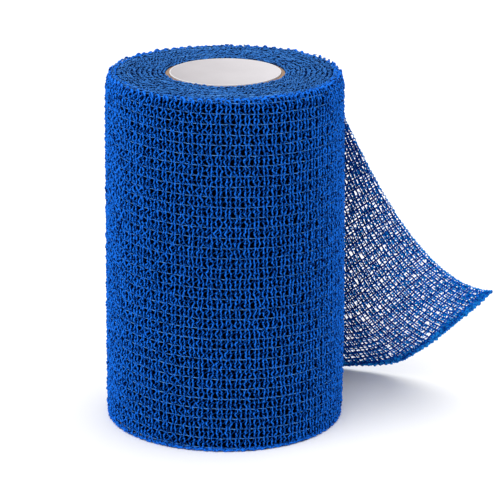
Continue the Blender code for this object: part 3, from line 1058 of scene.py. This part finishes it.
# %% Points on the loose end
def loose_end_point(share, down):
    """A point of the sheet: share runs from the peel line to the cut end, down from rim to hem."""
    share, down = np.broadcast_arrays(share, down)
    yarn = yarn_columns(np.clip(share, 0.0, 1.0))
    head_angle = LOOSE_START - HEAD_SWEEP * share
    head_radius = wall_radius(head_angle, HEAD_HEIGHT) + HEAD_GAP + TURN_THICKNESS / 2
    slope = np.radians(yarn.foot_slope)
    reach_in, reach_up = HEM_REACH * np.cos(slope), HEM_REACH * np.sin(slope)
    foot_radius, foot_height = yarn.foot_radius * MM, yarn.foot_height * MM
    radii = (head_radius, head_radius, foot_radius - reach_in, foot_radius)
    heights = (HEAD_HEIGHT, HEAD_HEIGHT - yarn.drop * MM, foot_height + reach_up, foot_height)
    up = 1.0 - down
    weights = (up ** 3, 3 * up ** 2 * down, 3 * up * down ** 2, down ** 3)
    radius = sum(weight * value for weight, value in zip(weights, radii))
    height = sum(weight * value for weight, value in zip(weights, heights))
    lean = np.clip(down, 0.0, None) ** LEAN_POWER
    return on_roll(radius, head_angle + (np.radians(yarn.foot_angle) - head_angle) * lean, height)


def loose_end_outward(share, down):
    """The direction that faces away from the roll."""
    low, high = np.clip(share - SLOPE_REACH, 0, 1), np.clip(share + SLOPE_REACH, 0, 1)
    above, below = np.clip(down - SLOPE_REACH, 0, 1), np.clip(down + SLOPE_REACH, 0, 1)
    share, down = (np.clip(value, SLOPE_REACH, 1 - SLOPE_REACH) for value in (share, down))
    along = loose_end_point(high, down) - loose_end_point(low, down)
    across = loose_end_point(share, below) - loose_end_point(share, above)
    return unit(np.cross(along, across))


def on_loose_end(share, down, proud):
    """Points that stand proud of the sheet's middle by some distance, and their outward directions."""
    share, down, proud = np.broadcast_arrays(share, down, proud)
    outward = loose_end_outward(share, down)
    return loose_end_point(share, down) + outward * proud[..., None], outward


def width_at(down):
    """How long the sheet is from the peel line to the cut end, at a height on it."""
    return RIM_LENGTH + (HEM_LENGTH - RIM_LENGTH) * down


corner = loose_end_point(np.array([1.0]), np.array([1.0]))[0]
print("lowest corner of the cut end, mm:", np.round(corner / MM, 1))

# %% [markdown]
# The stretched yarns across the net are nearly straight. A see-through picture on a sheet could stand for
# them, but it would look flat from the side. So they are tubes too, a little to the roll's side.

# %% Yarns across the net
CROSS_YARNS = 54
CROSS_STEPS = 120
CROSS_RADIUS = 0.29 * MM
CROSS_PROUD = -0.18 * MM
CROSS_WOBBLE = [Crimp(0.14 * MM, 9.0 * MM), Crimp(0.06 * MM, 2.4 * MM)]
CROSS_IN_AND_OUT = Crimp(0.08 * MM, 2.4 * MM)
CROSS_THICK_AND_THIN = Crimp(0.12, 2.5 * MM)

cross_share = ((np.arange(CROSS_YARNS) + 0.5) / CROSS_YARNS)[:, None]
down = np.linspace(0.0, 1.0, CROSS_STEPS)[None, :]
travelled = SHEET_DEPTH * down
wobble = crimped(CROSS_YARNS, travelled, *CROSS_WOBBLE)
proud = CROSS_PROUD + crimped(CROSS_YARNS, travelled, CROSS_IN_AND_OUT)
line, outward = on_loose_end(cross_share + wobble / width_at(down), down, proud)
thick = CROSS_RADIUS * (1.0 + crimped(CROSS_YARNS, travelled, CROSS_THICK_AND_THIN))
cross_parts = tube_mesh(line, outward, thick)

# %% [markdown]
# The elastic threads drew together as the end was pulled open, so they close up towards the cut end. Their
# rows keep a level at about two thirds of the way down and lean towards it from both sides. Only every
# third line is a dark thread. The two between are crinkled rows of the web.

# %% Threads along the net
LONG_DENSITY = 84
LONG_STEPS = 110
LONG_RADIUS = 0.29 * MM
CRINKLED_RADIUS = 0.25 * MM
DRAWN_THIN = 0.22
LEVEL = 0.66
CLOSING = 0.45
LONG_LENGTH = 90.0 * MM
LONG_WOBBLE = Crimp(0.12 * MM, 9.0 * MM)
LONG_CRINKLE = Crimp(0.22 * MM, 2.2 * MM)
LONG_THICK_AND_THIN = Crimp(0.25, 2.0 * MM)
OUT_WITH_CRINKLE = 0.4
EVEN_THREAD = 0.6
DRAWN_THICK = 0.1
LongKind = namedtuple("LongKind", "chosen bend proud radius")

shrink = math.exp(-CLOSING)
lowest_start = LEVEL + (1.0 - LEVEL) / shrink
highest_start = LEVEL - LEVEL / shrink
threads = int((lowest_start - highest_start) * LONG_DENSITY)
start = np.linspace(highest_start, lowest_start, threads + 2)[1:-1, None]
away = np.where(start > LEVEL, 1.0 - LEVEL, LEVEL)
first = np.clip(np.log(np.maximum(np.abs(start - LEVEL), 1e-9) / away) / CLOSING, 0.0, 1.0)
share = first + (1.0 - first) * np.linspace(0.0, 1.0, LONG_STEPS)[None, :]
down = np.clip(LEVEL + (start - LEVEL) * np.exp(-CLOSING * share), 0.0, 1.0)
travelled = LONG_LENGTH * share
wobble = crimped(threads, travelled, LONG_WOBBLE)
crinkle = crimped(threads, travelled, LONG_CRINKLE)
swell = 1.0 + crimped(threads, travelled, LONG_THICK_AND_THIN)
is_thread = np.arange(threads) % 3 == 1
between = np.floor(share * CROSS_YARNS + 0.5).astype(int)
luck = NOISE.uniform(0.0, 1.0, (threads, CROSS_YARNS + 1))[np.arange(threads)[:, None], between]
crinkled_swell = np.where(luck < DRAWN_THIN, DRAWN_THICK, swell)
swell = np.where(is_thread[:, None], EVEN_THREAD + (1.0 - EVEN_THREAD) * swell, crinkled_swell)
long_parts = []
for kind in (LongKind(is_thread, 0.10, -0.32 * MM, LONG_RADIUS),
             LongKind(~is_thread, 1.0, 0.10 * MM, CRINKLED_RADIUS)):
    bent = down[kind.chosen] + (wobble + kind.bend * crinkle)[kind.chosen] / SHEET_DEPTH
    proud = kind.proud + OUT_WITH_CRINKLE * crinkle[kind.chosen]
    line, outward = on_loose_end(share[kind.chosen], np.clip(bent, 0.0, 1.0), proud)
    long_parts.append(tube_mesh(line, outward, kind.radius * swell[kind.chosen]))
net = add_piece("loose_end_net", joined([cross_parts, long_parts[0]]), net_blue)
print("net lines", CROSS_YARNS, "across and", threads, "along")

# %% [markdown]
# At the cut end the yarns curl back, so its edge is not a straight line. A row of half loops along it, each
# with its own reach, gives that edge.

# %% The cut end's loops
LOOPS = 92
LOOP_POINTS = 7
LOOP_START = -0.3 * MM
LOOP_REACH = (0.45, 0.80)
LOOP_HALF = 0.55 * MM
LOOP_RADIUS = 0.17 * MM

bow = np.linspace(0.0, math.pi, LOOP_POINTS)[None, :]
loop_down = (np.arange(LOOPS)[:, None] + 0.5) / LOOPS
reach_out = NOISE.uniform(*LOOP_REACH, (LOOPS, 1)) * MM
loop_share = 1.0 + (LOOP_START + reach_out * np.sin(bow)) / width_at(loop_down)
loop_across = loop_down - LOOP_HALF * np.cos(bow) / SHEET_DEPTH
line, outward = on_loose_end(np.minimum(loop_share, 1.0), loop_across, 0.0)
edge_along = unit(loose_end_point(1.0, loop_down) - loose_end_point(0.99, loop_down))
line = line + edge_along * (np.maximum(loop_share - 1.0, 0.0) * width_at(loop_down))[..., None]
loop_parts = tube_mesh(line, outward, LOOP_RADIUS)
print("loops at the cut end", LOOPS)

# %% [markdown]
# The free hem is the cloth's own edge, where every yarn turns back. One thick tube would look like piping.
# Four crimped lines side by side, each thinner than the one outside it, give its plump bumps.

# %% The thick hem
HEM_STEPS = 420
HEM_BUMP = 2.3 * MM
HEM_PROUD = 0.10 * MM
HEM_STRAY = Crimp(0.22 * MM, 2.6 * MM)
HEM_IN_AND_OUT = Crimp(0.24 * MM, 1.9 * MM)
HEM_THICK_AND_THIN = Crimp(0.35, 1.7 * MM)
HemLine = namedtuple("HemLine", "from_edge swing thick phase")
HEM_LINES = [
    HemLine(-0.05 * MM, 0.52 * MM, 0.46 * MM, 0.0),
    HemLine(0.15 * MM, 0.50 * MM, 0.44 * MM, math.pi),
    HemLine(0.80 * MM, 0.45 * MM, 0.34 * MM, 1.9),
    HemLine(1.35 * MM, 0.45 * MM, 0.22 * MM, 4.6),
]
share = np.linspace(0.0, 1.0, HEM_STEPS)[None, :]
travelled = HEM_LENGTH * share
hem_parts = []
for hem in HEM_LINES:
    across = (hem.from_edge + hem.swing * np.sin(FULL_TURN * travelled / HEM_BUMP + hem.phase)
              + crimped(1, travelled, HEM_STRAY))
    proud = HEM_PROUD + crimped(1, travelled, HEM_IN_AND_OUT)
    line, outward = on_loose_end(share, 1.0 - across / SHEET_DEPTH, proud)
    hem_radius = hem.thick * (1.0 + crimped(1, travelled, HEM_THICK_AND_THIN))
    line[..., 2] = np.maximum(line[..., 2], hem_radius)
    hem_parts.append(tube_mesh(line, outward, hem_radius, sides=4))
hem_piece = add_piece("loose_end_hem", joined(hem_parts), hem_lit_blue)

# %% [markdown]
# The web in the cells is the crimped pile yarn of the crepe. Two strands run down each gap between the
# cross yarns. In some cells a strand bunches up and fills its side, in others it is drawn thin, which
# leaves an open hole.

# %% Web in the cells
WEB_STEPS = 200
WEB_LANES = (0.32, 0.68)
WEB_RADIUS = 0.28 * MM
WEB_THIN = 0.02 * MM
WEB_COVER = 0.65
WEB_PROUD = 0.22 * MM
WEB_STRAY = Crimp(0.20, 1.3 * MM)
WEB_THICK_AND_THIN = Crimp(0.25, 1.5 * MM)
WEB_IN_AND_OUT = Crimp(0.12 * MM, 1.9 * MM)
GAP_LUCK = 0.4
PATCH_LUCK = 0.06
PATCH_WAVES = [Wave(61, 37.0, 0.0, 1 / 3), Wave(97, -53.0, 1.0, 1 / 3), Wave(29, 91.0, 2.0, 1 / 3)]

lane = (np.arange(CROSS_YARNS + 1)[:, None] - 0.5 + np.array(WEB_LANES)).reshape(-1, 1)
lane = lane[(lane[:, 0] > 0.0) & (lane[:, 0] < CROSS_YARNS)]
strands = len(lane)
down = np.linspace(0.0, 1.0, WEB_STEPS)[None, :]
travelled = SHEET_DEPTH * down
lane_share = np.clip((lane + crimped(strands, travelled, WEB_STRAY)) / CROSS_YARNS, 0.0, 1.0)
thread_start = LEVEL + (down - LEVEL) * np.exp(CLOSING * lane_share)
cell = ((thread_start - highest_start) / (lowest_start - highest_start) * (threads + 1)).astype(int)
gap = np.floor(lane + 0.5).astype(int)
gap_luck = NOISE.uniform(0.0, 1.0, (CROSS_YARNS + 1, threads + 2))[gap, cell]
strand_luck = NOISE.uniform(0.0, 1.0, (strands, threads + 2))[np.arange(strands)[:, None], cell]
bunched = GAP_LUCK * gap_luck + (1.0 - GAP_LUCK) * strand_luck
filled = bunched + PATCH_LUCK * unevenness(PATCH_WAVES, lane_share, down) < WEB_COVER
full = WEB_RADIUS * (1.0 + crimped(strands, travelled, WEB_THICK_AND_THIN))
proud = WEB_PROUD + crimped(strands, travelled, WEB_IN_AND_OUT)
line, outward = on_loose_end(lane_share, down, proud)
web_strands = tube_mesh(line, outward, np.where(filled, full, WEB_THIN))
web_parts = [long_parts[1], loop_parts, web_strands]
web = add_piece("loose_end_web", joined(web_parts), web_lit_blue)
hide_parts("loose_end")
